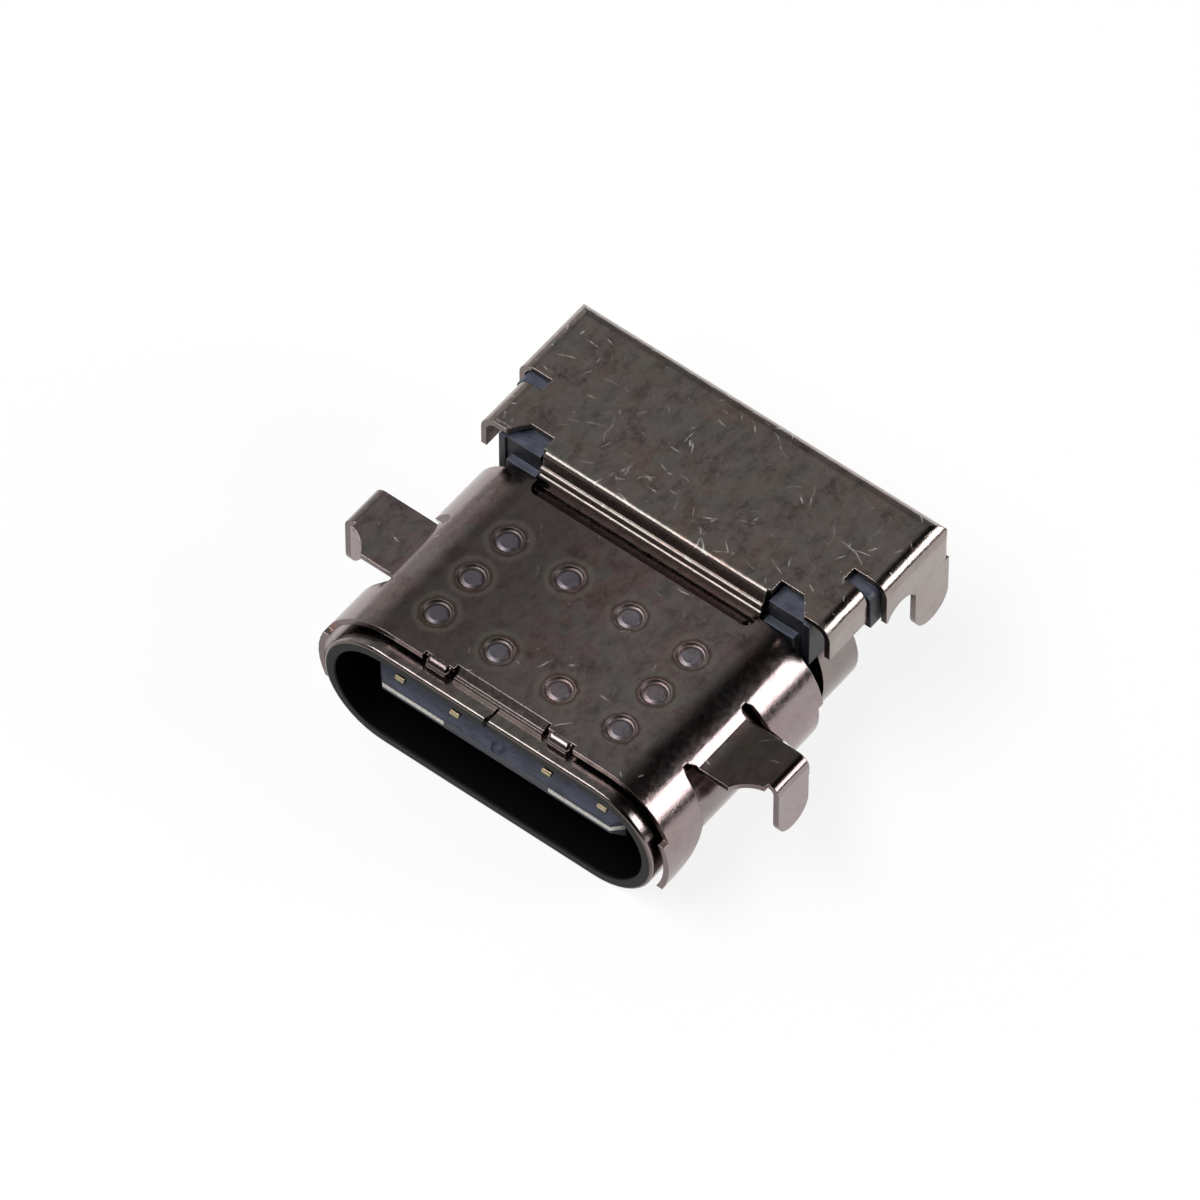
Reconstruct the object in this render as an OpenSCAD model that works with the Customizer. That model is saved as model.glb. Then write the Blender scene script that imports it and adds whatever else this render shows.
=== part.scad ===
// 24-contact USB-C receptacle, sunk (mid-mount) type, with a welded outer shell and a rear cover.
// Millimetres. X runs across the mouth, +Y from the mouth to the back, +Z up away from the board.
// The origin is the centre of the mouth, in the plane of its front edge.

/* [Mouth tube] */
// Inside width of the plug opening
mouth_w = 8.34; // [8.30:0.01:8.40]
// Inside height of the plug opening
mouth_h = 2.56; // [2.52:0.01:2.60]
// Wall of the rolled mouth tube
tube_wall = 0.30; // [0.26:0.01:0.30]
// Length of the mouth tube
tube_len = 7.18; // [7.14:0.01:7.22]

/* [Tongue] */
// Width of the tongue
tongue_w = 6.69; // [6.64:0.01:6.74]
// Thickness of the tongue
tongue_t = 0.70; // [0.68:0.01:0.72]
// How far the nose stands back from the mouth
nose_y = 0.30; // [0.25:0.05:0.40]
// Thickness of the latch plate in the middle of the tongue
mid_t = 0.15; // [0.14:0.01:0.16]

/* [Contacts] */
// Pitch of the contacts
pitch = 0.50; // [0.50:0.01:0.50]
// Contacts in a row
row_count = 12; // [12]
// Width of a contact
contact_w = 0.24; // [0.20:0.01:0.26]
// Thickness of the contact strip
contact_t = 0.15; // [0.12:0.01:0.16]

/* [Outer shell] */
// Thickness of the shell and cover sheet
sheet_t = 0.15; // [0.14:0.01:0.16]
// Air gap between the mouth tube and the outer shell
shell_gap = 0.15; // [0.14:0.01:0.16]
// Front edge of the outer shell
shell_front = 0.38; // [0.34:0.02:0.42]
// Rear edge of the outer shell
shell_rear = 5.58; // [5.50:0.02:5.58]
// Half distance between the outer faces of the side legs
leg_x = 5.90; // [5.80:0.05:6.00]

/* [Rear cover] */
// Height of the cover's top face
cover_top = 2.56; // [2.50:0.02:2.60]
// Half width of the rear part of the cover
cover_x = 5.00; // [4.96:0.02:5.04]
// Half width of the front wings
wing_x = 4.74; // [4.72:0.01:4.76]
// Front edge of the wings
cover_front = 5.80; // [5.78:0.01:5.82]
// Rear face of the cover
cover_rear = 9.70; // [9.66:0.02:9.74]

/* [Board] */
// Height of the board's top face
board_z = 1.20; // [1.18:0.01:1.22]
// Lowest point of the side legs
side_leg_z = -0.45; // [-0.50:0.05:-0.30]
// Lowest point of the cover legs
cover_leg_z = -0.21; // [-0.25:0.02:-0.15]

/* [Hidden] */
$fn = 48;
eps = 0.02;
big = 30;

// Mouth tube
mouth_r = mouth_h / 2;
mouth_c = mouth_w / 2 - mouth_r;      // centres of the round ends
tube_r = mouth_r + tube_wall;
tube_cut_y = 5.60;                    // behind this the top of the tube is cut away
tube_cut_z = 0.94;
notch_y = 6.10;                       // top of the notch's rear edge behind the outer shell
notch_root_y = 5.90;
notch_root_z = -0.36;
notch_half = 0.14;
edge_r = 0.08;                        // easing of the mouth's outer edge
edge_in = 0.03;                       // and of its inner edge
seam_w = 0.05;
nick_w = 0.11;
nick_len = 0.24;

// Tongue
half_t = tongue_t / 2;
half_mid = mid_t / 2;
nose_len = 0.30;                      // length of the nose chamfer
nose_flat = 0.06;                     // half height of the blunt front edge
nose_corner = 0.25;                   // corner chamfers of the tongue in plan
mid_gap = 1.42;                       // the latch plate shows outside this half width
mid_relief_y = 0.55;
step_y = 4.50;                        // start of the thick root
step_z = 0.55;
stop_y = 6.25;                        // the plug stops here
root_x = 3.30;
emc_t = 0.15;
latch_y = 2.10;
latch_len = 0.80;
latch_depth = 0.30;
pip_x = [-2.2, 0, 2.2];                // the mouldings meet through these holes of the latch plate
pip_y = 3.60;
pip_r = 0.35;

// Contacts
pad_long = 0.44;                      // tips of the ground and power contacts
pad_short = 0.85;                     // tips of the signal contacts
bend_r = 0.10;
riser_a = 6.45;                       // front faces of the two rows of risers
riser_b = 6.78;
run_a_z = 1.75;                       // height of the upper row's top run
drop_a = 8.80;                        // where the upper row drops to the board
tail_a = 9.95;
tail_b = 8.45;

// Insert bases in the housing pocket
base_x = 3.20;
base_top = 0.85;
base_bot = -0.95;
base_rear = 7.28;

// Outer shell
shell_r = tube_r + shell_gap + sheet_t;
ear_z = -0.80;
ear_front = 0.20;
ear_step_z = 0.72;
tab_y0 = 1.95;
tab_y1 = 3.60;
leg_y0 = 2.54;
leg_y1 = 3.58;
leg_bend = 0.30;
slot_z = 1.52;                        // upper ends of the tab's relief slots
scallop_x = 5.75;
scallop_y = 1.60;
scallop_r = 0.83;
weld_r = 0.35;
weld_floor_r = 0.27;
weld_dip = 0.03;
weld_ring = 0.07;
weld_x = 2.48;
weld_y_rear = 3.90;
weld_y_mid = 2.66;
weld_y_front = 1.46;
bead_x = 1.64;
bead_len = 0.64;
bead_r = 0.18;
bead_end = 0.12;
bead_y = 0.49;
bead_gap = 0.07;
dip_y = 0.64;                         // where the top starts to dip at the front edge
centre_x = 1.19;
centre_gap = 0.08;
rear_dip_x = 3.00;
rear_dip_y = 5.20;
rear_dip_end = 5.50;
rear_dip_r = 0.22;

// Rear cover
cover_in = cover_top - sheet_t;
cover_r = 0.42;
corner_r = 0.20;
bend_y = 5.90;
wall_z = 1.30;
wing_z = 1.56;
rear_wall_z = 1.50;
slot_y0 = 7.10;
slot_y1 = 7.46;
slot_x = 4.10;
notch_x0 = 3.08;
notch_x1 = 3.70;
notch_x2 = 4.04;
notch_back = 6.25;
strip_x = 3.00;
lip_bend = 0.13;
rib_r = 0.08;
cleg_y0 = 8.50;
arch_y = 7.98;                        // arch in the lower edge of the hood's side wall
arch_z = 1.06;
arch_r = 0.52;
cleg_y1 = 9.66;

// Housing
body_gap = 0.04;
body_front = 6.30;
body_x = 4.22;                        // half width of the body between the wings
body_top = cover_top - sheet_t - body_gap;
plug_gap = 0.10;
plug_back = 0.10;
block_x = 3.10;
block_y = 5.80;
block_z = 2.32;
ledge_x = 3.90;
ledge_y = 5.61;
ledge_z = 1.82;
wide_y = 7.14;
wide_z = 1.34;
body_rear = 8.35;
body_low = 1.00;
post_x = 3.75;
post_y = 7.92;
post_r = 0.30;
post_len = 0.60;

function contact_x(i) = (i - (row_count + 1) / 2) * pitch;
function tip_y(i) = (i == 1 || i == 4 || i == 9 || i == 12) ? pad_long : pad_short;

// ---- helpers -------------------------------------------------------------------------------

// Extrudes an X-Z outline from y0 to y1
module along_y(y0, y1) {
    translate([0, y1, 0]) rotate([90, 0, 0]) linear_extrude(y1 - y0) children();
}

// Extrudes a Y-Z outline from x0 to x1
module along_x(x0, x1) {
    translate([x0, 0, 0]) rotate([90, 0, 90]) linear_extrude(x1 - x0) children();
}

// Extrudes an X-Y outline from z0 to z1
module along_z(z0, z1) {
    translate([0, 0, z0]) linear_extrude(z1 - z0) children();
}

// A box given by its two corners
module span(lo, hi) {
    translate(lo) cube(hi - lo);
}

// The same shape on both sides of the middle plane
module both_sides() {
    children();
    mirror([1, 0, 0]) children();
}

// A flat bar with two round ends, the outline of the mouth
module oval(r, c) {
    union() {
        for (s = [-1, 1]) translate([s * c, 0]) circle(r);
        square([2 * c, 2 * r], center = true);
    }
}

// ---- mouth tube ----------------------------------------------------------------------------

// Section of the tube wall along Y, with both front edges eased; second axis is the radius
module tube_wall_section() {
    union() {
        translate([edge_r, mouth_r]) square([tube_len - edge_r, tube_wall]);
        polygon([[0, mouth_r + edge_in], [edge_in, mouth_r], [2 * edge_r, mouth_r],
                 [2 * edge_r, tube_r - edge_r], [0, tube_r - edge_r]]);
        translate([edge_r, tube_r - edge_r]) circle(edge_r);
    }
}

module tube_blank() {
    union() {
        both_sides()
            translate([mouth_c, 0, 0]) rotate([-90, 0, 0]) rotate([0, 0, -90])
                rotate_extrude(angle = 180) mirror([1, -1, 0]) tube_wall_section();
        for (s = [0, 1])
            mirror([0, 0, s]) along_x(-mouth_c, mouth_c) tube_wall_section();
    }
}

module inner_shell() {
    color([0.42, 0.41, 0.40])
    difference() {
        tube_blank();
        // the top is cut away where the housing rises behind the outer shell
        span([-big, tube_cut_y, tube_cut_z], [big, big, big]);
        // narrow notch between the outer shell and the side plates left standing
        both_sides() along_x(3.2, big)
            polygon([[tube_cut_y, big], [tube_cut_y, notch_root_z + notch_half],
                     [notch_root_y - notch_half, notch_root_z], [notch_root_y, notch_root_z],
                     [notch_y, tube_cut_z], [notch_y, big]]);
        // rolled seam along the top, with a small lead-in nick at the mouth
        span([-seam_w / 2, -1, mouth_r / 2], [seam_w / 2, big, 2]);
        along_z(mouth_r / 2, 2)
            polygon([[-nick_w, -0.01], [-seam_w / 2, nick_len], [seam_w / 2, nick_len],
                     [seam_w / 2, -0.01]]);
    }
}

// ---- outer shell ---------------------------------------------------------------------------

// What is open in the side walls of the shell, seen from the side: below the ears, the window
// that the tab was lifted from, and its two relief slots
module shell_side_opening() {
    polygon([[-1, ear_z], [0.34, ear_z], [0.62, -0.62], [1.00, -0.30], [1.25, 0.05],
             [1.46, 0.42], [1.52, 1.00], [1.60, slot_z - 0.12], [1.68, slot_z],
             [1.80, slot_z], [tab_y0, 1.40], [tab_y0, board_z], [tab_y1, board_z],
             [tab_y1 + 0.02, slot_z - 0.06], [3.70, slot_z], [3.82, slot_z],
             [3.92, slot_z - 0.10], [3.98, 0.85], [4.60, -0.36], [4.78, ear_z],
             [big, ear_z], [big, -4], [-1, -4]]);
}

// The sheet of one tab and its leg, seen from the front
module tab_section() {
    union() {
        translate([4.08, board_z]) square([leg_x - leg_bend - 4.08, sheet_t]);
        translate([leg_x - leg_bend, board_z + sheet_t - leg_bend])
            difference() {
                intersection() {
                    circle(leg_bend);
                    square(leg_bend);
                }
                circle(leg_bend - sheet_t);
            }
        translate([leg_x - sheet_t, side_leg_z])
            square([sheet_t, board_z + sheet_t - leg_bend - side_leg_z]);
    }
}

// One tab with its round-ended solder leg
module tab_and_leg() {
    leg_r = (leg_y1 - leg_y0) / 2;
    difference() {
        intersection() {
            along_y(tab_y0, tab_y1) tab_section();
            along_x(0, 8) union() {
                translate([tab_y0, board_z - 0.4]) square([tab_y1 - tab_y0, 1]);
                translate([leg_y0, side_leg_z + leg_r]) square([2 * leg_r, 2]);
                translate([leg_y0 + leg_r, side_leg_z + leg_r]) circle(leg_r);
            }
        }
        translate([scallop_x, scallop_y, -2]) cylinder(r = scallop_r, h = 5);
        span([leg_x - leg_bend, 0, -2], [big, leg_y0, 3]);
    }
}

// Mark of one weld: a shallow dish with a ring groove round it
module weld_pocket() {
    rotate_extrude() polygon([[0, -weld_dip], [weld_r - 0.15, -weld_dip],
                              [weld_floor_r, -weld_ring], [weld_r - 0.04, -weld_ring * 0.7],
                              [weld_r + 0.01, 0.05], [0, 0.05]]);
}

// Rows of laser-weld dimples on the top: four, two, four
module at_welds() {
    for (x = [-1, -1 / 3, 1 / 3, 1], y = [weld_y_front, weld_y_rear])
        translate([x * weld_x, y, shell_r]) children();
    for (x = [-1, 1])
        translate([x * weld_x, weld_y_mid, shell_r]) children();
}

// Side views of the places where the top dips towards the tube: what goes, and the sheet there
module dip_cut() {
    polygon([[-1, tube_r - 1], [shell_front, tube_r - 1], [dip_y, shell_r],
             [dip_y, shell_r + 1], [-1, shell_r + 1]]);
}

module dip_sheet() {
    polygon([[shell_front, tube_r], [shell_front, tube_r + sheet_t - 0.03],
             [shell_front + 0.03, tube_r + sheet_t], [shell_front + 0.10, tube_r + sheet_t],
             [dip_y + 0.02, shell_r], [dip_y + 0.14, shell_r - sheet_t - eps],
             [shell_front + 0.18, tube_r]]);
}

// A bead: the front edge of the sheet rolled down over a short length, with rounded ends
module bead() {
    intersection() {
        translate([-bead_len / 2, 0, shell_r - bead_r]) rotate([0, 90, 0])
            rotate_extrude() intersection() {
                union() {
                    translate([0, bead_end]) square([bead_r, bead_len - 2 * bead_end]);
                    translate([0, 0]) square([bead_r - bead_end, bead_len]);
                    for (z = [bead_end, bead_len - bead_end])
                        translate([bead_r - bead_end, z]) circle(bead_end);
                }
                square([1, 1]);
            }
        span([-1, -1, tube_r], [1, 1, 3]);
    }
}

module rear_dip_cut() {
    polygon([[rear_dip_y, shell_r], [rear_dip_end, tube_r], [big, tube_r], [big, shell_r + 1],
             [rear_dip_y, shell_r + 1]]);
}

// Plan of the rear dip, with rounded front corners
module rear_dip_plan() {
    union() {
        translate([-rear_dip_x, rear_dip_y + rear_dip_r]) square([2 * rear_dip_x, 2]);
        translate([rear_dip_r - rear_dip_x, rear_dip_y - eps])
            square([2 * (rear_dip_x - rear_dip_r), 2]);
        for (s = [-1, 1])
            translate([s * (rear_dip_x - rear_dip_r), rear_dip_y + rear_dip_r]) circle(rear_dip_r);
    }
}

module rear_dip_sheet() {
    polygon([[rear_dip_y - 0.02, shell_r], [rear_dip_end, tube_r + sheet_t * 0.7],
             [rear_dip_end, tube_r], [rear_dip_end - 0.12, tube_r],
             [rear_dip_y - 0.12, shell_r - sheet_t]]);
}

module outer_shell() {
    color([0.36, 0.34, 0.33])
    union() {
        difference() {
            union() {
                difference() {
                    along_y(ear_front, shell_rear) difference() {
                        oval(shell_r, mouth_c);
                        oval(shell_r - sheet_t, mouth_c);
                    }
                    // the upper front edge stands behind the ears
                    span([-big, -1, ear_step_z], [big, shell_front, 3]);
                    along_x(-big, big) shell_side_opening();
                    // the sides end a little before the top
                    span([-big, shell_rear - 0.16, -3], [big, big, 0.24]);
                }
                // welds reach down to the tube
                at_welds() translate([0, 0, -sheet_t - shell_gap])
                    cylinder(r = weld_floor_r + 0.03, h = shell_gap + sheet_t / 2);
            }
            at_welds() weld_pocket();
            // the middle of the front edge and the rear edge dip down to the tube
            along_x(-centre_x - centre_gap, centre_x + centre_gap) dip_cut();
            intersection() {
                along_x(-rear_dip_x, rear_dip_x) rear_dip_cut();
                along_z(0, 4) rear_dip_plan();
            }
            // narrow gaps each side of the two beads
            both_sides() span([bead_x - bead_len / 2 - bead_gap, 0, tube_r],
                              [bead_x + bead_len / 2 + bead_gap, bead_y + eps, 3]);
        }
        along_x(-centre_x, centre_x) dip_sheet();
        along_x(rear_dip_r - rear_dip_x, rear_dip_x - rear_dip_r) rear_dip_sheet();
        // two rolled beads at the ends of the dip
        both_sides() translate([bead_x, bead_y, 0]) bead();
        both_sides() tab_and_leg();
    }
}

// ---- rear cover ----------------------------------------------------------------------------

// Cross-section of a folded cover, from the front: outer or inner face by the inset t
module cover_section(half, t, low) {
    r = cover_r - t;
    union() {
        translate([-half + t, low]) square([2 * (half - t), cover_top - t - r - low]);
        translate([-half + t + r, low]) square([2 * (half - t - r), cover_top - t - low]);
        for (s = [-1, 1]) translate([s * (half - t - r), cover_top - t - r]) circle(r);
    }
}

// Side view of the rear bend
module rear_bend_section(t, low) {
    r = cover_r - t;
    union() {
        translate([-1, low]) square([cover_rear - t + 1, cover_top - t - r - low]);
        translate([-1, low]) square([cover_rear - t - r + 1, cover_top - t - low]);
        translate([cover_rear - t - r, cover_top - t - r]) circle(r);
    }
}

module rear_hood() {
    difference() {
        intersection() {
            along_y(slot_y0, cover_rear) cover_section(cover_x, 0, wall_z);
            along_x(-6, 6) rear_bend_section(0, wall_z);
            along_z(0, 4) union() {
                translate([-6, 0]) square([12, cover_rear - corner_r]);
                translate([corner_r - cover_x, 0]) square([2 * (cover_x - corner_r), 12]);
                for (s = [-1, 1]) translate([s * (cover_x - corner_r), cover_rear - corner_r])
                    circle(corner_r);
            }
        }
        intersection() {
            along_y(slot_y0 - 1, cover_rear + 1) cover_section(cover_x, sheet_t, 0);
            along_x(-6, 6) rear_bend_section(sheet_t, 0);
        }
        // solder tails pass under the rear wall
        span([-cover_x + 2 * sheet_t, 8, 0], [cover_x - 2 * sheet_t, 12, rear_wall_z]);
        both_sides() span([slot_x, 0, 0], [8, slot_y1, 4]);
        both_sides() along_x(cover_x - 2 * sheet_t, 8) translate([arch_y, arch_z]) circle(arch_r);
    }
}

module front_wings() {
    along_y(cover_front, slot_y0) difference() {
        cover_section(wing_x, 0, wing_z);
        cover_section(wing_x, sheet_t, 0);
    }
}

// The ribbed lip that closes the step between cover and outer shell, seen from the side:
// a bend, a steep web that leans forward, and three rolled ribs along it
module lip_section() {
    top = [bend_y, cover_top - lip_bend];
    foot = [5.655, tube_r + 0.12];
    union() {
        translate(top) circle(lip_bend);
        polygon([[top[0] - lip_bend + 0.01, top[1]], [foot[0] - rib_r, foot[1]],
                 [foot[0], foot[1] - rib_r / 2], [foot[0] + rib_r, foot[1]],
                 [bend_y + 0.10, top[1] - 0.05], [bend_y + 0.10, cover_top], [bend_y, cover_top]]);
        for (k = [1, 2]) translate(top + (foot - top) * (0.12 + 0.29 * k) - [lip_bend * (1 - 0.29 * k), 0])
            circle(rib_r);
        translate(foot) circle(rib_r);
    }
}

module cover_leg() {
    r = (cleg_y1 - cleg_y0) / 2;
    along_x(cover_x - sheet_t, cover_x) union() {
        translate([cleg_y0, cover_leg_z + r]) square([2 * r, wall_z + 0.1 - cover_leg_z - r]);
        translate([cleg_y0 + r, cover_leg_z + r]) circle(r);
    }
}

module rear_cover() {
    color([0.33, 0.31, 0.30])
    union() {
        difference() {
            union() {
                rear_hood();
                front_wings();
                span([-slot_x, slot_y0 - eps, cover_in], [slot_x, slot_y1, cover_top]);
            }
            // notches that show the corner blocks of the housing
            both_sides() along_z(0, 4) polygon([[notch_x0, 5], [notch_x0, notch_back],
                [notch_x1, notch_back], [notch_x2, cover_front], [notch_x2, 5]]);
            // the lip hangs from this front part of the top
            span([-notch_x0 - eps, 5, 0], [notch_x0 + eps, bend_y, 4]);
        }
        along_x(-strip_x, strip_x) lip_section();
        both_sides() cover_leg();
    }
}

// ---- housing -------------------------------------------------------------------------------

// Everything that is moulded round the contacts is cut with the contacts themselves
module all_contacts() {
    for (i = [1:row_count]) {
        strip_a(i);
        strip_b(i);
    }
}

module housing() {
    color([0.13, 0.13, 0.16])
    difference() {
        union() {
            // front body, clear of the wings at its sides
            span([-body_x, body_front, body_low], [body_x, wide_y + eps, body_top]);
            // wide rear body, rounded along the top to lie in the folded cover
            along_y(wide_y, body_rear) cover_section(cover_x, sheet_t + body_gap, wide_z);
            span([-slot_x, wide_y, board_z], [slot_x, body_rear, wide_z + eps]);
            // flat on top that carries the cover
            span([-slot_x, body_front, cover_in - 0.1], [slot_x, body_rear, cover_in]);
            // corner blocks that show in the cover's notches, each with a ledge and a thin pilaster
            both_sides() {
                span([block_x, block_y, body_low], [body_x, body_front + eps, block_z]);
                span([block_x, ledge_y, body_low], [ledge_x, block_y + eps, ledge_z]);
                span([body_x - 0.18, block_y - 0.04, body_low], [body_x, block_y + eps, block_z]);
            }
            // plug of the housing inside the mouth tube
            along_y(stop_y, base_rear + plug_back) intersection() {
                oval(mouth_r, mouth_c - plug_gap);
                translate([-6, -3]) square([12, 3 + body_low + eps]);
            }
            // locating posts for the board
            both_sides() translate([post_x, post_y, board_z - post_len])
                cylinder(r = post_r, h = post_len + 0.1);
        }
        // pocket of the two contact inserts
        span([-base_x, stop_y - 1, base_bot], [base_x, base_rear, base_top]);
        all_contacts();
        // relief under the top run, open to the back
        span([-3.1, wide_y + 0.25, board_z + contact_t + 0.12], [3.1, 9, run_a_z - 0.12]);
    }
}

// ---- tongue --------------------------------------------------------------------------------

// Plan of the tongue with its chamfered front corners
module tongue_plan(y1) {
    polygon([[-tongue_w / 2, y1], [-tongue_w / 2, nose_y + nose_corner],
             [-tongue_w / 2 + nose_corner, nose_y], [tongue_w / 2 - nose_corner, nose_y],
             [tongue_w / 2, nose_y + nose_corner], [tongue_w / 2, y1]]);
}

// Side view of one half of the tongue: nose chamfer, thin blade, thick root and base
module insert_section(base_height, base_end) {
    polygon([[nose_y, half_mid], [nose_y, half_mid + nose_flat], [nose_y + nose_len, half_t],
             [step_y, half_t], [step_y + 0.15, step_z], [stop_y, step_z],
             [stop_y, base_height], [base_end, base_height], [base_end, half_mid]]);
}

// One moulding before the contacts are cut out of it
module insert_blank(base_height) {
    intersection() {
        along_x(-root_x - 1, root_x + 1) insert_section(base_height, base_rear);
        union() {
            along_z(0, half_t) tongue_plan(step_y + 0.5);
            span([-root_x, step_y, 0], [root_x, stop_y, 1]);
            span([-base_x, stop_y - eps, 0], [base_x, base_rear, 1]);
        }
    }
}

module upper_insert() {
    color([0.15, 0.15, 0.18])
    difference() {
        union() {
            insert_blank(base_top);
            // nose bridge between the two bright corners of the latch plate
            span([-mid_gap, nose_y, -half_mid], [mid_gap, mid_relief_y, half_mid + eps]);
            for (x = pip_x) translate([x, pip_y, -half_mid]) cylinder(r = pip_r, h = mid_t + eps);
        }
        all_contacts();
        // gate mark of the moulding on the nose
        translate([0, nose_y + 0.10, half_mid + nose_flat + 0.09]) rotate([45, 0, 0])
            difference() {
                cylinder(r = 0.17, h = 0.2, center = true);
                cylinder(r = 0.10, h = 0.4, center = true);
                translate([0, 0, -0.53]) cube(1, center = true);
            }
    }
}

module lower_insert() {
    color([0.15, 0.15, 0.18])
    difference() {
        mirror([0, 0, 1]) insert_blank(-base_bot);
        all_contacts();
    }
}

module mid_plate() {
    color([0.62, 0.61, 0.58])
    difference() {
        along_z(-half_mid, half_mid) difference() {
            tongue_plan(6.38);
            translate([-mid_gap, 0]) square([2 * mid_gap, mid_relief_y]);
            for (s = [-1, 1]) translate([s * tongue_w / 2, latch_y])
                polygon([[0, -latch_len / 2], [-s * latch_depth, -latch_len / 2 + 0.12],
                         [-s * latch_depth, latch_len / 2 - 0.12], [0, latch_len / 2]]);
            for (x = pip_x) translate([x, pip_y]) circle(pip_r);
        }
        both_sides() span([base_x, stop_y, -1], [8, 8, 1]);
    }
}

module emc_plate() {
    union() {
        span([-root_x, step_y + 0.25, step_z], [root_x, stop_y, step_z + emc_t]);
        // side flaps that grip the tongue root
        both_sides() span([root_x, step_y + 0.55, 0.16], [root_x + emc_t, stop_y, step_z + emc_t]);
    }
}

module emc_plate_top() {
    color([0.60, 0.59, 0.56]) emc_plate();
}

module emc_plate_bottom() {
    color([0.60, 0.59, 0.56]) mirror([0, 0, 1]) emc_plate();
}

// ---- contacts ------------------------------------------------------------------------------

// One strip bent up and back: pad from the tip to a riser, then a run at run_z and a tail
module contact_path(tip, low_z, riser, run_z, run_end) {
    t = contact_t;
    r = bend_r + t;
    union() {
        translate([tip, low_z]) square([riser + t - r - tip, t]);
        translate([riser + t - r, low_z + r]) rotate(-90) bend(r, t);
        translate([riser, low_z + r]) square([t, run_z + t - r - low_z - r]);
        translate([riser + r, run_z + t - r]) rotate(90) bend(r, t);
        translate([riser + r, run_z]) square([run_end - riser - r, t]);
    }
}

// Quarter bend of a strip: a ring sector in the first quadrant
module bend(r, t) {
    difference() {
        intersection() {
            circle(r);
            square(r);
        }
        circle(r - t);
    }
}

// The drop from the top run to the board, and the solder tail
module contact_drop() {
    t = contact_t;
    r = bend_r + t;
    union() {
        translate([drop_a - r, run_a_z + t - r]) bend(r, t);
        translate([drop_a - t, board_z + r]) square([t, run_a_z + t - 2 * r - board_z]);
        translate([drop_a - t + r, board_z + r]) rotate(180) bend(r, t);
        translate([drop_a - t + r, board_z]) square([tail_a - drop_a + t - r, t]);
    }
}

// The tip follows the chamfer of the nose
module tip_cut(tip, top) {
    polygon([[tip - 1, top - 1], [tip - 1, top + 1], [tip + 0.05, top + 1],
             [tip + 0.05, top], [tip, top - 0.05], [tip, top - 1]]);
}

// Upper row: up to the top run, then down to the board behind the other row
module strip_a(i) {
    translate([contact_x(i), 0, 0]) along_x(-contact_w / 2, contact_w / 2) difference() {
        union() {
            contact_path(tip_y(i), half_t - contact_t, riser_a, run_a_z, drop_a - bend_r - contact_t);
            contact_drop();
        }
        tip_cut(tip_y(i), half_t);
    }
}

// Lower row: up to the board and straight back
module strip_b(i) {
    translate([contact_x(i), 0, 0]) along_x(-contact_w / 2, contact_w / 2) difference() {
        contact_path(tip_y(i), -half_t, riser_b, board_z, tail_b);
        mirror([0, 1, 0]) tip_cut(tip_y(i), half_t);
    }
}

module contact_a(i) {
    color([0.83, 0.70, 0.42]) strip_a(i);
}

module contact_b(i) {
    color([0.83, 0.70, 0.42]) strip_b(i);
}

inner_shell();
outer_shell();
rear_cover();
housing();
upper_insert();
lower_insert();
mid_plate();
emc_plate_top();
emc_plate_bottom();
for (i = [1:12]) {
    contact_a(i);
    contact_b(i);
}
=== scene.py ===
# %% [markdown]
# # A sunk USB-C socket
# The real socket is nearly 12 mm wide: an oval mouth tube, a dark nickel-plated outer shell welded
# round it, a folded rear cover and a black housing between them. The packed solids already have the
# right shape and size, so they are loaded as a fixed frame and everything in this lesson is fitted to
# them.

# %% Load the frame
import math
import bpy
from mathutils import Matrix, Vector


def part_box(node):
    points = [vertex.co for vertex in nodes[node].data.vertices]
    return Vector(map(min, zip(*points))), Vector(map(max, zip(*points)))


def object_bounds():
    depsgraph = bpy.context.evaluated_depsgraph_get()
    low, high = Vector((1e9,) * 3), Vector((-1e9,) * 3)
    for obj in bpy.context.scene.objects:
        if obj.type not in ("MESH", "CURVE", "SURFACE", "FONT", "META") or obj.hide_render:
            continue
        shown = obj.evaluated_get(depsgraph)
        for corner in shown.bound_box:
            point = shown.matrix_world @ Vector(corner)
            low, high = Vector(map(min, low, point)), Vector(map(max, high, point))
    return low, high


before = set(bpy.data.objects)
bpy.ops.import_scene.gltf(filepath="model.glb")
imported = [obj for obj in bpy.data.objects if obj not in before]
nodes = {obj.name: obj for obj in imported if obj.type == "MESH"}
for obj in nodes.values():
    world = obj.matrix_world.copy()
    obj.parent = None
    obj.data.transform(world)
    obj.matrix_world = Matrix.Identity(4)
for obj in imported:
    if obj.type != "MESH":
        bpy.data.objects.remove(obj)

MM = 0.001
cad_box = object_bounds()
print("CAD box in mm", [[round(c / MM, 2) for c in corner] for corner in cad_box])

# %% [markdown]
# ## Camera
# A part this small is looked at from far off with a long lens, so its parallel edges stay nearly
# parallel. The camera is placed by an azimuth, an elevation and a distance from a point inside the
# socket. A slight shift of the lens sets the part a little off the middle.

# %% Camera
aim = Vector((0, 4.5, 0.3)) * MM
azimuth, elevation = math.radians(38.1), math.radians(53.5)
distance = 0.308
back = Vector((math.sin(azimuth) * math.cos(elevation), -math.cos(azimuth) * math.cos(elevation),
               math.sin(elevation)))
lens_data = bpy.data.cameras.new("camera")
lens_data.lens = 430.6
lens_data.shift_x = -0.0142
lens_data.shift_y = 0.0197
lens_data.clip_start = 0.01
lens_data.clip_end = 10
camera = bpy.data.objects.new("camera", lens_data)
bpy.context.scene.collection.objects.link(camera)
camera.location = aim + distance * back
camera.rotation_euler = back.to_track_quat("Z", "Y").to_euler()
bpy.context.scene.camera = camera
print("camera at", [round(c, 3) for c in camera.location])

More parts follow.
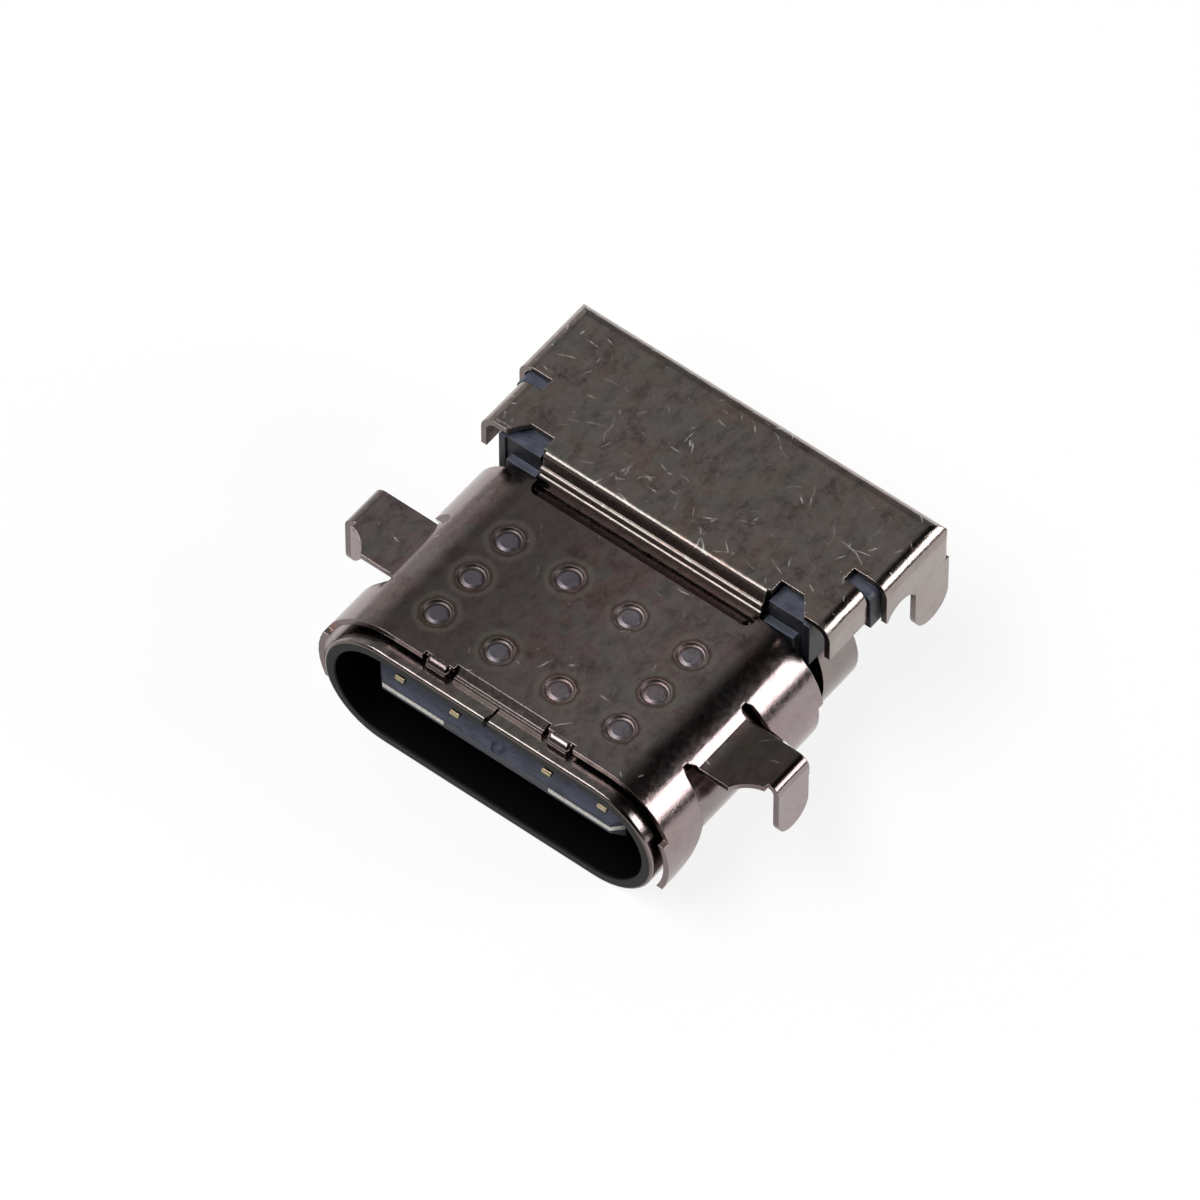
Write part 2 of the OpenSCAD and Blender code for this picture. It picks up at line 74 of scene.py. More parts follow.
# %% [markdown]
# ## Floor
# The socket lies on a plain pale table, and the underside of its mouth tube is its lowest point. The
# table could be a curved sweep, but the camera looks down and never sees a horizon, so one flat square
# is enough. It lies just at that lowest point, so the shadow starts where the part rests.

# %% Floor
floor_size = 0.6
floor_z = cad_box[0][2]
corners = [(sx * floor_size, sy * floor_size, floor_z)
           for sx, sy in ((-1, -1), (1, -1), (1, 1), (-1, 1))]
floor_mesh = bpy.data.meshes.new("floor")
floor_mesh.from_pydata(corners, [], [(0, 1, 2, 3)])
floor = bpy.data.objects.new("floor", floor_mesh)
bpy.context.scene.collection.objects.link(floor)
print("floor at", round(floor_z / MM, 2), "mm")

# %% [markdown]
# ## Sky
# Polished metal shows what stands round it, so the sky is made before any metal. One grey sky would
# leave every sheet equally bright. Cards and flags round the part would work too, but each would need
# its own place. Here the sky's level is the product of three curves, one along each axis: dim overhead
# for the dark tops, nearly black on the right for the dark band beside the round shoulder, and dimmer
# in front and at the far back.

# %% Sky helpers
world = bpy.data.worlds.new("world")
bpy.context.scene.world = world
world.use_nodes = True
sky = world.node_tree
sky_place = sky.nodes.new("ShaderNodeTexCoord")
sky_split = sky.nodes.new("ShaderNodeSeparateXYZ")
sky.links.new(sky_place.outputs["Generated"], sky_split.inputs[0])


def sky_math(operation, *values):
    """One sum on the world's nodes."""
    node = sky.nodes.new("ShaderNodeMath")
    node.operation = operation
    for socket, value in zip(node.inputs, values):
        if isinstance(value, bpy.types.NodeSocket):
            sky.links.new(value, socket)
        else:
            socket.default_value = value
    return node.outputs[0]


def sky_level(axis, stops):
    """How bright the sky is along one axis; each stop is a place from -1 to 1 and a level."""
    ramp = sky.nodes.new("ShaderNodeValToRGB")
    sky.links.new(sky_math("MULTIPLY_ADD", sky_split.outputs[axis], 0.5, 0.5), ramp.inputs[0])
    while len(ramp.color_ramp.elements) < len(stops):
        ramp.color_ramp.elements.new(0.5)
    for stop, (place, level) in zip(ramp.color_ramp.elements, stops):
        stop.position = (place + 1) / 2
        stop.color = (level, level, level, 1)
    return ramp.outputs[0]


print("sky nodes so far:", len(sky.nodes))

# %% Sky levels
by_height = sky_level("Z", [(-1, 1.0), (-0.01, 1.0), (0.03, 0.40), (0.30, 0.54), (0.50, 0.46),
                            (0.80, 0.28), (1, 0.28)])
by_side = sky_level("X", [(-1, 1.0), (-0.80, 0.95), (-0.60, 0.50), (-0.42, 0.90), (-0.15, 1.0),
                          (0.06, 0.40), (0.20, 0.04), (0.60, 0.03), (0.90, 0.10), (1, 0.25)])
by_front = sky_level("Y", [(-1, 0.40), (-0.60, 0.45), (-0.35, 0.85), (-0.2, 1.0), (0.48, 1.0),
                           (0.72, 0.40), (1, 0.35)])
sky.links.new(sky_math("MULTIPLY", sky_math("MULTIPLY", by_height, by_side), by_front),
              sky.nodes["Background"].inputs["Color"])
print("sky has", len(sky.nodes), "nodes")

# %% [markdown]
# ## Lamps
# Two broad lamps draw the bright lines. One stands low on the right behind the part and shows as the
# streak along the round shoulder. The other hangs high in front on the left, a long panel, so that the
# small bends and beads, whose surfaces turn quickly, still catch it. Point lamps would leave dots: a
# streak in metal is a picture of the lamp, so the lamp has to be as broad as the streak.

# %% Lamps
def add_lamp(name, direction, reach, size, watts):
    """A flat lamp, so long and so wide, that looks at the middle of the socket from a direction."""
    lamp = bpy.data.lights.new(name, "AREA")
    lamp.shape = "RECTANGLE"
    lamp.size, lamp.size_y = size
    lamp.energy = watts
    holder = bpy.data.objects.new(name, lamp)
    bpy.context.scene.collection.objects.link(holder)
    away = Vector(direction).normalized()
    holder.location = aim + reach * away
    holder.rotation_euler = away.to_track_quat("Z", "Y").to_euler()
    print(name, "gives", watts, "W over", round(size[0] * size[1] * 1e4), "square centimetres")


add_lamp("lamp_right", (0.776, 0.468, 0.42), reach=0.30, size=(0.12, 0.12), watts=0.25)
add_lamp("lamp_front", (-0.37, -0.35, 0.86), reach=0.40, size=(0.42, 0.15), watts=0.85)

# %% [markdown]
# ## A finish in the making
# Every finish here is worked out from the place of a point on the part, in millimetres, so it needs no
# unwrapping and stays at its real scale. Nodes could be placed by hand in the editor, but a dozen lines
# of code place the same ones on every piece. A Finish holds the material and its node tree.

# %% Finish
class Finish:
    """A material in the making."""

    def __init__(self, name):
        self.material = bpy.data.materials.new(name)
        self.material.use_nodes = True
        self.tree = self.material.node_tree
        self.shader = self.tree.nodes["Principled BSDF"]
        place = self.tree.nodes.new("ShaderNodeTexCoord").outputs["Object"]
        self.mm = self.add("ShaderNodeVectorMath", "Vector", [place, (1 / MM,) * 3], operation="MULTIPLY")

    def add(self, kind, out, inputs, **settings):
        """Adds a node, sets or links its first inputs in order, and returns the named output."""
        node = self.tree.nodes.new(kind)
        for key, value in settings.items():
            setattr(node, key, value)
        for socket, value in zip(node.inputs, inputs):
            self.put(socket, value)
        return node.outputs[out]

    def put(self, socket, value):
        """Links an output to a socket, or sets a plain value."""
        if isinstance(value, bpy.types.NodeSocket):
            self.tree.links.new(value, socket)
        else:
            socket.default_value = value

    def set(self, **sockets):
        """Sets the shader's own sockets; an underscore in a name stands for a space."""
        for name, value in sockets.items():
            self.put(self.shader.inputs[name.replace("_", " ")], value)


print("a finish has", [name for name in vars(Finish) if not name.startswith("_")])

# %% [markdown]
# ## Sums
# A finish decides at every point how dark or rough the part is there, and it does so with plain sums:
# add, multiply, take the larger. Blender has a node for each. They are wrapped in short functions here,
# so that a finish later reads as a formula rather than as a list of links.

# %% Sums on numbers and vectors
def calc(finish, operation, a, b=0.0, clamp=False):
    """One sum on two numbers."""
    return finish.add("ShaderNodeMath", 0, [a, b], operation=operation, use_clamp=clamp)


def product(finish, *values):
    """All the values multiplied together."""
    total = values[0]
    for value in values[1:]:
        total = calc(finish, "MULTIPLY", total, value)
    return total


def moved(finish, where, scale=(1, 1, 1), shift=(0, 0, 0)):
    """The same place, scaled and then shifted."""
    return finish.add("ShaderNodeMapping", 0, [where, shift, (0, 0, 0), scale])


def xyz(finish, vector):
    """The x, y and z of a vector."""
    node = finish.tree.nodes.new("ShaderNodeSeparateXYZ")
    finish.put(node.inputs[0], vector)
    return node.outputs[0], node.outputs[1], node.outputs[2]


def vector(finish, x=0.0, y=0.0, z=0.0):
    """A vector from its x, y and z."""
    return finish.add("ShaderNodeCombineXYZ", 0, [x, y, z])


def facing(finish):
    """The x, y and z of the way that the surface faces."""
    return xyz(finish, finish.tree.nodes.new("ShaderNodeNewGeometry").outputs["Normal"])


print("helpers made: calc, product, moved, xyz, vector, facing")

# %% [markdown]
# ## Patterns and colours
# Real plating, plastic and paper are never one even colour. Cloudy noise is the plainest uneven thing
# Blender can draw at any scale, a soft step turns it into patches, and a blend colours them. Colours
# are written as the six digits a maker would read off a swatch, and turned into linear light.

# %% Patterns and colours
def noise_at(finish, where, scale, detail, rough=0.5):
    """Cloudy noise with so many clouds to a millimetre."""
    node = finish.tree.nodes.new("ShaderNodeTexNoise")
    finish.put(node.inputs["Vector"], where)
    finish.put(node.inputs["Scale"], scale)
    finish.put(node.inputs["Detail"], detail)
    finish.put(node.inputs["Roughness"], rough)
    return node.outputs[0]


def step(finish, value, low, high, out_low=0.0, out_high=1.0):
    """Maps low..high to out_low..out_high with a soft start and end."""
    node = finish.tree.nodes.new("ShaderNodeMapRange")
    node.interpolation_type = "SMOOTHSTEP"
    for socket, number in zip(node.inputs, (value, low, high, out_low, out_high)):
        finish.put(socket, number)
    return node.outputs[0]


def blend(finish, amount, a, b):
    """From colour a to colour b by an amount of 0..1."""
    node = finish.tree.nodes.new("ShaderNodeMix")
    node.data_type = "RGBA"
    for index, value in ((0, amount), (6, a), (7, b)):
        if isinstance(value, tuple) and len(value) == 3:
            value = (*value, 1)
        finish.put(node.inputs[index], value)
    return node.outputs[2]


def hex_colour(code):
    """An sRGB colour such as 8A8078 as linear red, green and blue."""
    parts = [int(code[i:i + 2], 16) / 255 for i in (0, 2, 4)]
    return tuple(p / 12.92 if p <= 0.04045 else ((p + 0.055) / 1.055) ** 2.4 for p in parts)


print("plain grey reads", [round(c, 3) for c in hex_colour("808080")])

# %% [markdown]
# ## Relief and edges
# Grain and shallow dents are far too small to model, so they tilt the shading normal instead. Cut sheet
# always has a slightly rounded edge that catches light. A bevel modifier would cut thousands of faces
# for it, while the Bevel node rounds the shading alone, and how far it leans also says where an edge is,
# which is where wear and a painted edge highlight go.

# %% Relief and edges
def bump(finish, height, depth, normal):
    """Tilts a normal by a height of 0..1, with the depth in millimetres."""
    node = finish.tree.nodes.new("ShaderNodeBump")
    node.inputs["Distance"].default_value = depth * MM
    node.inputs["Strength"].default_value = 1.0
    finish.put(node.inputs["Height"], height)
    finish.put(node.inputs["Normal"], normal)
    return node.outputs[0]


# how well the rounded and the true normal agree on a flat and on an edge: cosines of 8 and 32 degrees
flat_agree, edge_agree = 0.99, 0.85


def edge(finish, radius):
    """1 on sharp edges and 0 on flats, and the rounded normal; the radius is in millimetres."""
    round_normal = finish.add("ShaderNodeBevel", 0, [radius * MM], samples=8)
    true_normal = finish.tree.nodes.new("ShaderNodeNewGeometry").outputs["Normal"]
    agree = finish.tree.nodes.new("ShaderNodeVectorMath")
    agree.operation = "DOT_PRODUCT"
    finish.put(agree.inputs[0], round_normal)
    finish.put(agree.inputs[1], true_normal)
    return step(finish, agree.outputs["Value"], flat_agree, edge_agree), round_normal


print("an edge is found where the cosine falls below", flat_agree)

# %% [markdown]
# ## Scratches from handling
# The real sheet is crossed by short bright scratches in all directions. Noise can't draw them, because
# it has no direction of its own. So the surface is first unrolled round its folds into a flat sheet,
# then cut into random cells, and each cell gets one stroke through its middle, at its own angle and of
# its own length. A slow wobble of the sheet bends the longer strokes a little.

# %% Unrolled sheet
def unrolled(finish, top):
    """The place on the sheet as if its sides were folded up flat; top is the height of its top face."""
    x, y, z = xyz(finish, finish.mm)
    drop = calc(finish, "SUBTRACT", top, z)
    across = calc(finish, "ADD", x, product(finish, drop, calc(finish, "SIGN", x)))
    along = calc(finish, "ADD", y, product(finish, drop, 0.5))
    return vector(finish, across, along)


print("helper made: unrolled")

# %% One layer of strokes
# the wobble is a little finer than the cells; a stroke reaches at most about half a cell to each side,
# and it is at full strength over the inner quarter of its width
wobble_rate, half_length, full_width = 1.4, 0.55, 0.25


def wobbled(finish, sheet, scale, bend, seed):
    """The sheet's place, shifted by the seed and bent by up to so many millimetres."""
    wobble = finish.tree.nodes.new("ShaderNodeTexNoise")
    finish.put(wobble.inputs["Vector"], moved(finish, sheet, shift=(seed, seed * 2, seed * 3)))
    wobble.inputs["Scale"].default_value = scale
    wobble.inputs["Detail"].default_value = 1.0
    swing = finish.add("ShaderNodeVectorMath", 0, [wobble.outputs["Color"], (bend,) * 3],
                       operation="MULTIPLY")
    return finish.add("ShaderNodeVectorMath", 0, [moved(finish, sheet, shift=(seed, -seed, 0)), swing],
                      operation="ADD")


def strokes(finish, sheet, cells, keep, width, bend, seed):
    """One scratch in some of the cells; cells is how many lie on a millimetre, keep how many show."""
    bent = wobbled(finish, sheet, cells * wobble_rate, bend, seed)
    cell = finish.tree.nodes.new("ShaderNodeTexVoronoi")
    cell.voronoi_dimensions = "2D"
    finish.put(cell.inputs["Vector"], bent)
    cell.inputs["Scale"].default_value = cells
    offset = finish.add("ShaderNodeVectorMath", 0, [bent, cell.outputs["Position"]],
                        operation="SUBTRACT")
    luck, angle, size = xyz(finish, cell.outputs["Color"])
    turned = finish.tree.nodes.new("ShaderNodeVectorRotate")
    turned.rotation_type = "Z_AXIS"
    finish.put(turned.inputs["Vector"], offset)
    finish.put(turned.inputs["Angle"], product(finish, angle, 2 * math.pi))
    along, aside, _ = xyz(finish, turned.outputs[0])
    along, aside = calc(finish, "ABSOLUTE", along), calc(finish, "ABSOLUTE", aside)
    half = product(finish, size, half_length / cells)
    taper = calc(finish, "SUBTRACT", 1.0, calc(finish, "DIVIDE", along, half), clamp=True)
    line = step(finish, aside, width, width * full_width)
    shown = calc(finish, "LESS_THAN", luck, keep)
    return product(finish, line, shown, calc(finish, "SQRT", taper))


print("helpers made: wobbled, strokes")

# %% [markdown]
# ## Where scratches lie
# Handling marks come in crowds, and most of all near the two sides of the part. Evenly strewn strokes
# would look like rain. So four sizes of stroke are laid over each other, broken up by a fine noise, and
# thinned in patches by a slow noise, except near the sides. Only faces that look up carry them.

# %% Scratches
# each layer: cells to a millimetre, share of cells with a stroke, width and bend in millimetres
stroke_layers = ((2.6, 0.26, 0.030, 0.10), (1.25, 0.36, 0.030, 0.35),
                 (0.75, 0.34, 0.034, 0.70), (1.7, 0.30, 0.022, 0.05))


def scratches(finish, sheet, upward, keep):
    """Bright scratches, 0..1; keep multiplies the share of cells with a stroke in every layer."""
    marks = None
    for number, (cells, share, width, bend) in enumerate(stroke_layers):
        layer = strokes(finish, sheet, cells, share * keep, width, bend, 4.3 * number + 2.1)
        marks = layer if marks is None else calc(finish, "MAXIMUM", marks, layer)
    broken = step(finish, noise_at(finish, finish.mm, scale=5.0, detail=2.0), 0.34, 0.56)
    slow = noise_at(finish, moved(finish, finish.mm, shift=(3, 5, 0)), scale=0.55, detail=1.0)
    side = step(finish, calc(finish, "ABSOLUTE", xyz(finish, finish.mm)[0]), 2.9, 4.0)
    crowd = calc(finish, "MAXIMUM", step(finish, slow, 0.42, 0.58, 0.10, 1.0), side)
    return product(finish, marks, broken, step(finish, upward, 0.55, 0.85), crowd)


print("layers of strokes:", len(stroke_layers))

# %% [markdown]
# ## Mottle of the plating
# The plating is a brown-violet grey that drifts to a warmer and a greener grey in clouds, with darker
# stains and paler flecks. The folded walls look smooth, so the mottle is mixed in by how far a face
# looks up, and only a quarter of it is left elsewhere. Faces that lean forward are painted darkest, as
# painted shade and painted dark reflection: the front edges and the slopes of the dips.

# %% Mottle
# how much of each shows at most on a face that looks up, and its colour
stain_look, pale_look, dark_look = (0.50, "564C48"), (0.38, "B9AEA8"), (0.48, "5A504C")
wall_share = 0.25
lean_shade_share = 0.6


def mottled(finish, grain, lean, upward, main, warm, cool):
    """The plating's colour before scratches and edge tints, with painted shade on faces that lean forward;
    lean and upward are the y and z of the way a face looks.
    """
    top_face = step(finish, upward, 0.80, 0.96, wall_share, 1.0)
    clouds = noise_at(finish, finish.mm, scale=0.8, detail=4.0, rough=0.6)
    drift = noise_at(finish, moved(finish, finish.mm, shift=(7, 3, 0)), scale=1.1, detail=4.0, rough=0.65)
    fleck_place = moved(finish, finish.mm, scale=(1.0, 0.6, 1.0), shift=(1, 9, 4))
    fleck = noise_at(finish, fleck_place, scale=3.4, detail=5.0, rough=0.75)
    stain = product(finish, step(finish, drift, 0.46, 0.36), step(finish, grain, 0.35, 0.60))
    colour = blend(finish, product(finish, step(finish, clouds, 0.46, 0.60), top_face), main, warm)
    colour = blend(finish, product(finish, step(finish, drift, 0.50, 0.64), top_face), colour, cool)
    for amount, (share, tint) in ((stain, stain_look), (step(finish, fleck, 0.42, 0.66), pale_look),
                                  (step(finish, fleck, 0.50, 0.30), dark_look)):
        colour = blend(finish, product(finish, amount, share, top_face), colour, hex_colour(tint))
    # painted shade and dark reflection: faces that lean forward are blended to the darkest colour
    return blend(finish, step(finish, lean, -0.50, -0.75, 0.0, lean_shade_share), colour, hex_colour("4A403C"))


print("mottle left on walls:", wall_share)

# %% [markdown]
# ## Dark nickel sheet
# Shell, cover and tube are stainless sheet with a dark nickel plating. Paint over metal would need two
# shaders. One metallic shader with a darkened colour is enough, since plating this thin has no depth.
# Scratches are pale and rough, hair-fine ones fainter, and the edges are painted paler: wear and painted
# highlight.
# The sheet isn't quite flat either, so a slow dent and a fine grain tilt its reflections.

# %% Sheet metal
# roughness of the plating from smooth to grainy, what a scratch adds, and the grain's depth in mm
smooth, grainy, scratch_rough, grain_depth = 0.14, 0.22, 0.30, 0.0016


def nickel_sheet(name, top, plating, keep, dent):
    """Plated sheet steel with its marks; returns the finish, its colour and its roughness so far.

    top is the height of the top face in millimetres, plating the main, warm and cool colours, keep how
    many scratches there are, and dent how deep the sheet waves, in millimetres.
    """
    finish = Finish(name)
    sheet = unrolled(finish, top)
    _, lean, upward = facing(finish)
    grain = noise_at(finish, finish.mm, scale=7.0, detail=3.0, rough=0.65)
    colour = mottled(finish, grain, lean, upward, *[hex_colour(code) for code in plating])
    marks = scratches(finish, sheet, upward, keep)
    hair = strokes(finish, sheet, cells=3.4, keep=0.25 * keep, width=0.010, bend=0.12, seed=31.7)
    edge_wear_and_highlight, round_normal = edge(finish, radius=0.03)
    # the pale edge tint is edge wear and a painted highlight; scratches and hair lines are real wear
    for wear_and_highlight, share, tint in ((marks, 0.95, "F4F0EA"), (edge_wear_and_highlight, 0.20, "C8BCB0"),
                              (hair, step(finish, upward, 0.55, 0.85, 0.0, 0.45), "E8E2DC")):
        colour = blend(finish, product(finish, wear_and_highlight, share), colour, hex_colour(tint))
    rough = calc(finish, "ADD", step(finish, grain, 0.3, 0.7, smooth, grainy),
                 product(finish, marks, scratch_rough))
    waves = noise_at(finish, finish.mm, scale=0.9, detail=3.0, rough=0.55)
    normal = bump(finish, waves, dent, round_normal)
    normal = bump(finish, noise_at(finish, finish.mm, scale=26.0, detail=2.0), grain_depth, normal)
    finish.set(Base_Color=colour, Metallic=1.0, Roughness=rough, Normal=normal)
    print(name, "has", len(finish.tree.nodes), "nodes")
    return finish, colour, rough


def dress(node_name, finish):
    """Gives a CAD node its finish."""
    slots = nodes[node_name].data.materials
    slots.clear()
    slots.append(finish.material)


print("helpers made: nickel_sheet, dress")

# %% [markdown]
# ## Rear cover
# The folded cover is the most scratched piece. The skin of its ribbed lip is a little rougher than the
# flat top: a smooth one would mirror hard black and white lines in the ribs. The lip could have its own
# material, but a band of extra roughness in front of the fold is simpler.

# %% Rear cover
cover_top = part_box("rear_cover")[1][2] / MM
cover_finish, _, cover_rough = nickel_sheet("cover_nickel", cover_top, ("9C908C", "A08C84", "94928A"),
                                            keep=1.35, dent=0.026)
lip_end, lip_fade, lip_rough = 5.98, 0.06, 0.12
lip_zone = step(cover_finish, xyz(cover_finish, cover_finish.mm)[1], lip_end, lip_end - lip_fade)
cover_finish.set(Roughness=calc(cover_finish, "ADD", cover_rough,
                                product(cover_finish, lip_zone, lip_rough)))
dress("rear_cover", cover_finish)
print("cover top at", round(cover_top, 2), "mm")

# %% [markdown]
# ## Mouth tube
# The tube is the same sheet, but its inside never sees much light and is painted near black as painted
# shade, and so is the cut front face, as painted shade and dark reflection. Two materials would need the
# faces sorted by hand. Instead, how far a point lies from the line between the two round ends tells inside
# from outside: the sum that draws the oval.

# %% Tube
tube_box = [[c / MM for c in corner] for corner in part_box("inner_shell")]
tube_out = tube_box[1][2]
tube_flat = tube_box[1][0] - tube_out
tube_finish, tube_colour, tube_rough = nickel_sheet("tube_nickel", tube_out, ("8C8280", "8E7E7A", "8A8680"),
                                                    keep=0.30, dent=0.006)
tube_x, tube_y, tube_z = xyz(tube_finish, tube_finish.mm)
past_flat = calc(tube_finish, "MAXIMUM",
                 calc(tube_finish, "SUBTRACT", calc(tube_finish, "ABSOLUTE", tube_x), tube_flat), 0.0)
radius = tube_finish.add("ShaderNodeVectorMath", "Value", [vector(tube_finish, past_flat, tube_z)],
                         operation="LENGTH")
print("tube oval: flat half", round(tube_flat, 2), "outer radius", round(tube_out, 2))

# %% Painted shade in the tube
# how deep below the outer face the painted shade starts and where it is full, in millimetres
bore_depth, rim_depth = (0.265, 0.285), (0.055, 0.085)
front_share = 0.92
inside = step(tube_finish, radius, *[tube_out - depth for depth in bore_depth])
front = product(tube_finish, step(tube_finish, radius, *[tube_out - depth for depth in rim_depth]),
                step(tube_finish, tube_y, 0.05, 0.02))
# painted shade: the bore and the cut front face are painted near black, dull and hardly metallic
dark = calc(tube_finish, "MAXIMUM", inside, product(tube_finish, front, front_share))
tube_finish.set(Base_Color=blend(tube_finish, dark, tube_colour, hex_colour("0B0B0C")),
                Specular_IOR_Level=0.12, Metallic=step(tube_finish, dark, 1.0, 0.0),
                Roughness=blend(tube_finish, dark, tube_rough, (0.45, 0.45, 0.45)))
dress("inner_shell", tube_finish)
print("oxide starts", bore_depth[0], "mm into the wall")

# %% [markdown]
# ## Outer shell
# The shell is the same sheet with few scratches. It is painted darker towards the left and on the top of
# the tab that sticks out on the right, as painted shade, so two soft steps along X darken it there. A noise
# would put such broad shading anywhere, and a step puts it where it is.

# %% Outer shell
shell_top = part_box("outer_shell")[1][2] / MM
shell_finish, shell_colour, shell_rough = nickel_sheet("shell_nickel", shell_top,
                                                       ("98898A", "9C827E", "8F8C84"),
                                                       keep=0.30, dent=0.010)
shell_x, _, _ = xyz(shell_finish, shell_finish.mm)
left_shade_share, tab_shade_share = 0.60, 0.70
# painted shade: the left of the shell and the top of the right tab are darkened
left_painted_shade = product(shell_finish, step(shell_finish, shell_x, 1.6, -2.6, 0.0, left_shade_share),
                    step(shell_finish, shell_x, -3.9, -3.2))
tab_painted_shade = product(shell_finish, step(shell_finish, shell_x, 4.2, 4.5, 0.0, tab_shade_share),
                   step(shell_finish, facing(shell_finish)[2], 0.6, 0.9))
shell_colour = blend(shell_finish, left_painted_shade, shell_colour, hex_colour("5A504E"))
shell_colour = blend(shell_finish, tab_painted_shade, shell_colour, hex_colour("4C443C"))
print("shell top at", round(shell_top, 2), "mm")

# %% [markdown]
# ## Weld marks
# Ten spot welds hold the shell to the tube. Each left a pale halo, a brown heat ring and a grey pool,
# and a rougher skin. Painting ten discs would take ten masks. One distance, that to the nearest weld,
# draws them all, and the left half is folded on to the right one, so that only five welds are listed.
# A noise makes the rings ragged.

# %% Distance to a weld
# the outer welds lie this far from the middle, and the inner ones at a third of it; rows go by their y
weld_side = 2.48
weld_rows = {1.46: (weld_side, weld_side / 3), 2.66: (weld_side,), 3.90: (weld_side, weld_side / 3)}
weld_spots = [(x, y) for y, columns in weld_rows.items() for x in columns]
folded = shell_finish.add("ShaderNodeVectorMath", 0, [shell_finish.mm], operation="ABSOLUTE")
nearest = None
for x, y in weld_spots:
    away = shell_finish.add("ShaderNodeVectorMath", "Value", [folded, (x, y, shell_top)],
                            operation="DISTANCE")
    nearest = away if nearest is None else calc(shell_finish, "MINIMUM", nearest, away)
ragged_by = 0.14
wander = noise_at(shell_finish, shell_finish.mm, scale=4.0, detail=2.0)
ragged = product(shell_finish, wander, ragged_by)
nearest = calc(shell_finish, "SUBTRACT", calc(shell_finish, "ADD", nearest, ragged_by / 2), ragged)
print("welds found:", 2 * len(weld_spots))

# %% Weld tint
# pale halo, brown ring and grey pool: where each fades outwards, where it fades inwards, in millimetres
# from the middle of the weld, how much of it shows, and its colour
weld_tints = (((0.62, 0.50), (0.40, 0.48), 0.30, "B4AEA0"),
              ((0.44, 0.40), (0.35, 0.38), 0.55, "6A4C3A"),
              ((0.27, 0.22), None, 0.34, "868CA0"))
for outwards, inwards, share, tint in weld_tints:
    amount = step(shell_finish, nearest, *outwards)
    if inwards:
        amount = product(shell_finish, amount, step(shell_finish, nearest, *inwards))
    shell_colour = blend(shell_finish, product(shell_finish, amount, share), shell_colour,
                         hex_colour(tint))
weld_rough = step(shell_finish, nearest, 0.42, 0.34, 0.0, 0.26)
shell_finish.set(Base_Color=shell_colour, Roughness=calc(shell_finish, "ADD", shell_rough, weld_rough))
dress("outer_shell", shell_finish)
print("weld tints:", len(weld_tints))

# %% [markdown]
# ## Plastic
# Housing and tongue are moulded in black glass-filled plastic. It isn't dead black: faces that look up
# are painted a paler blue grey in patches, as painted light from above, and the fine grain of the glass
# shows where light grazes it. A gloss coat could show the lighter tops, but it would shine on the walls
# too, so the colour follows the facing.

# %% Plastic
def moulded(name, dark, light_and_wear_tint, side_painted_light):
    """Black plastic, painted paler on faces that look up as painted light; side_painted_light is how much
    of it shows elsewhere.
    """
    finish = Finish(name)
    grain = noise_at(finish, finish.mm, scale=18.0, detail=3.0, rough=0.6)
    scuff = noise_at(finish, moved(finish, finish.mm, scale=(1.0, 3.0, 3.0)),
                     scale=1.7, detail=4.0, rough=0.65)
    edge_wear_and_highlight, round_normal = edge(finish, radius=0.04)
    # painted light: faces that look up are painted paler in patches; edges are painted paler too, as wear
    # and painted highlight
    painted_top_light = product(finish, step(finish, facing(finish)[2], 0.15, 0.80, side_painted_light, 1.0),
                  step(finish, scuff, 0.36, 0.62, 0.55, 1.0))
    colour = blend(finish, painted_top_light, hex_colour(dark), hex_colour(light_and_wear_tint))
    colour = blend(finish, product(finish, edge_wear_and_highlight, 0.45), colour, hex_colour(light_and_wear_tint))
    finish.set(Base_Color=colour, Roughness=step(finish, grain, 0.3, 0.7, 0.38, 0.52),
               Normal=bump(finish, grain, 0.004, round_normal))
    return finish


dress("housing", moulded("housing_plastic", "191A20", "686D7E", side_painted_light=0.08))
tongue_finish = moulded("tongue_plastic", "15161E", "565C76", side_painted_light=0.20)
tongue_nodes = ("upper_insert", "lower_insert")
for node_name in tongue_nodes:
    dress(node_name, tongue_finish)
print("plastic on housing and", tongue_nodes)

# %% [markdown]
# ## Bright plates and gold contacts
# The latch plate and the ground plates are bare stainless, and the contacts are plated with gold over
# nickel. Both are small, so a light brushing along their length is all the eye can find on them. A
# noise that is stretched twenty to one draws it, and one helper serves both metals.

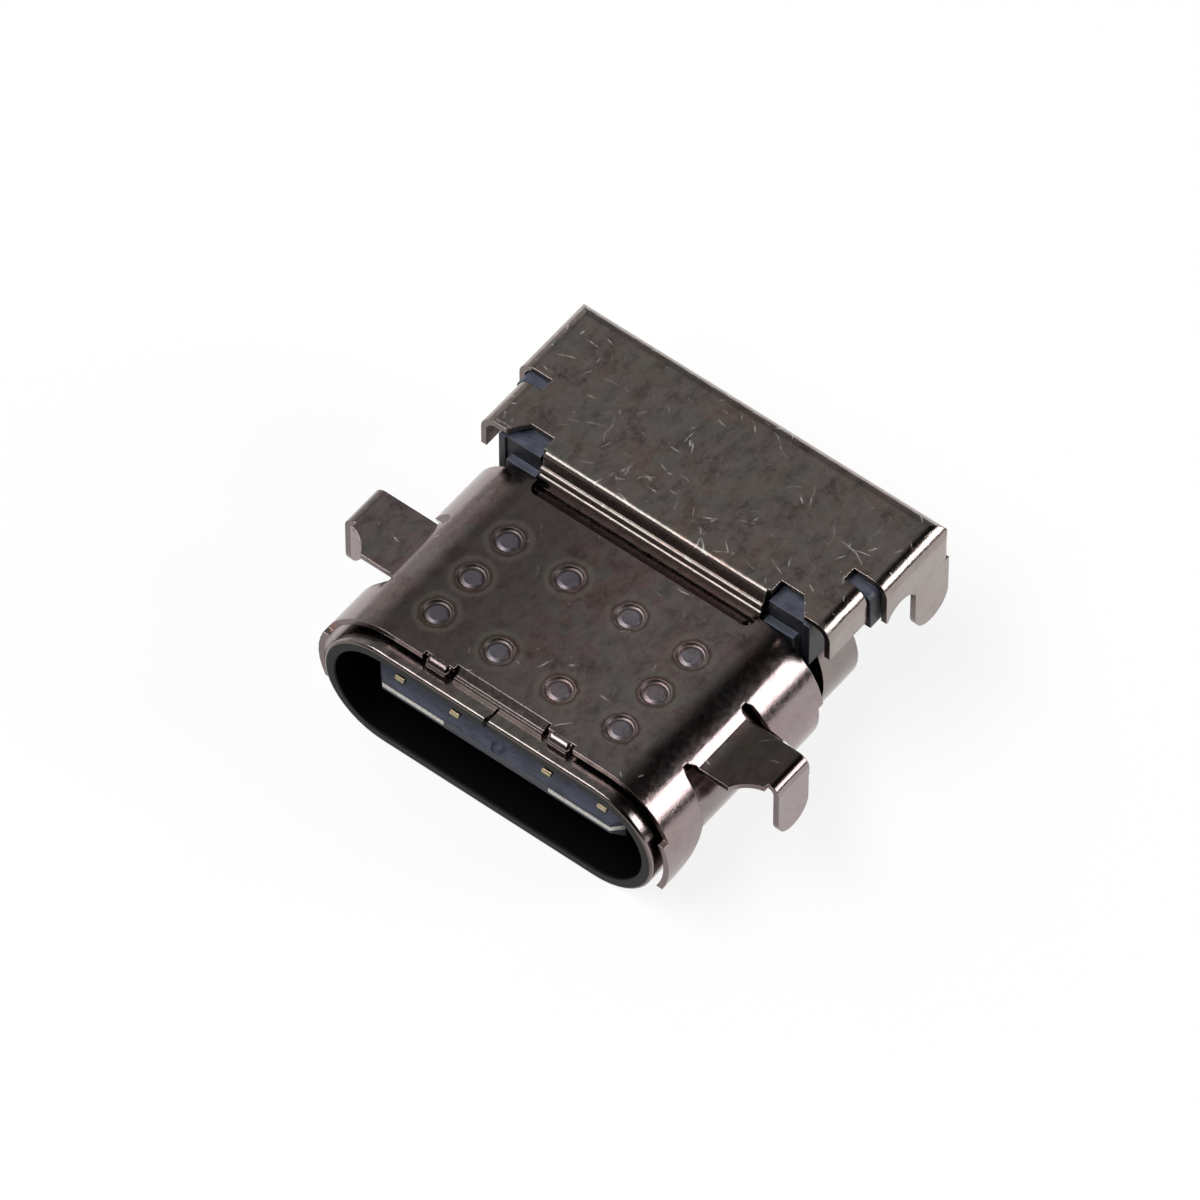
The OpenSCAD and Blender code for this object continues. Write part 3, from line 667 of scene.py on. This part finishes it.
# %% Plates and contacts
def bright_metal(name, base, streak, rough):
    """Brushed bare metal of two close colours."""
    finish = Finish(name)
    brushing = noise_at(finish, moved(finish, finish.mm, scale=(30.0, 1.5, 30.0)), scale=1.0, detail=2.0)
    cloud = noise_at(finish, finish.mm, scale=3.0, detail=2.0)
    _, round_normal = edge(finish, radius=0.03)
    colour = blend(finish, step(finish, brushing, 0.35, 0.65), hex_colour(base), hex_colour(streak))
    finish.set(Base_Color=colour, Metallic=1.0,
               Roughness=step(finish, cloud, 0.3, 0.7, rough, rough + 0.12),
               Normal=bump(finish, brushing, 0.002, round_normal))
    return finish


plate_finish = bright_metal("plate_steel", "C9C6BF", "A8A59E", rough=0.22)
for node_name in ("mid_plate", "emc_plate_top", "emc_plate_bottom"):
    dress(node_name, plate_finish)
gold_finish = bright_metal("contact_gold", "FFF2D2", "F0D8A4", rough=0.28)
contact_nodes = [node_name for node_name in nodes if node_name.startswith("contact_")]
for node_name in contact_nodes:
    dress(node_name, gold_finish)
print("gold contacts:", len(contact_nodes))

# %% [markdown]
# ## Floor finish
# The floor is white paper. More light would turn it white but burn out the metal. So it glows a little
# wherever it is seen, by the camera or in a reflection, and what is left of its shading keeps the shadow
# under the part.

# %% Floor finish
glow, seen_grey = 0.84, 0.24
paper = Finish("floor_paper")
paper_grain = noise_at(paper, paper.mm, scale=0.4, detail=3.0)
rays = paper.tree.nodes.new("ShaderNodeLightPath").outputs
seen = calc(paper, "MAXIMUM", calc(paper, "MAXIMUM", rays["Is Camera Ray"], rays["Is Glossy Ray"]),
            rays["Is Transmission Ray"])
lit = blend(paper, step(paper, paper_grain, 0.3, 0.7), (0.86, 0.86, 0.86), (0.88, 0.88, 0.88))
paper.set(Base_Color=blend(paper, seen, lit, (seen_grey,) * 3), Roughness=0.9,
          Emission_Color=(1, 1, 1, 1), Emission_Strength=product(paper, seen, glow))
floor.data.materials.append(paper.material)
print("floor glow where seen:", glow)

# %% [markdown]
# ## View
# Colours are shown plainly, without a film look, so that a colour reads as it was written. Only
# finishes were added to the part, so its size stays the size of the solids.

bpy.context.scene.view_settings.view_transform = "Standard"
